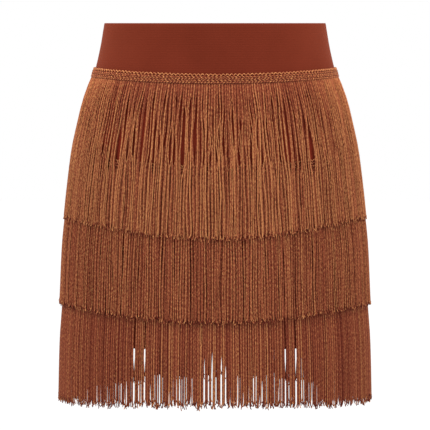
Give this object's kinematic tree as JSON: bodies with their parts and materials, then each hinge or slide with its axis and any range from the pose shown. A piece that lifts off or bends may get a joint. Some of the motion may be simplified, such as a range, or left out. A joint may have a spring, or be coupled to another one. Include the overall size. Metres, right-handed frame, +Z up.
{
  "type": "fringed latin dance skirt",
  "caption": "Short fitted dance skirt with a wide elastic waistband and overlapping rows of hanging fringe, in its worn, hollow shape.",
  "frame": {"origin": "middle of the waistband's height, on the axis of the waist, where the wearer's waist holds the skirt", "axes": "+Z up, -Y towards the front, +X towards the wearer's left"},
  "size_m": [0.3588, 0.2474, 0.4265],
  "materials": {
    "waistband_elastic": "smooth matt knitted elastic, rust brown",
    "skirt_jersey": "matt stretch jersey, dark rust",
    "fringe_yarn": "soft silky twisted yarn, copper brown"
  },
  "bodies": {
    "root": {"waistband": "waistband_elastic", "skirt_front": "skirt_jersey", "skirt_back": "skirt_jersey", "fringe_tier_1": "fringe_yarn", "fringe_tier_2": "fringe_yarn", "fringe_tier_3": "fringe_yarn"}
  },
  "joints": []
}
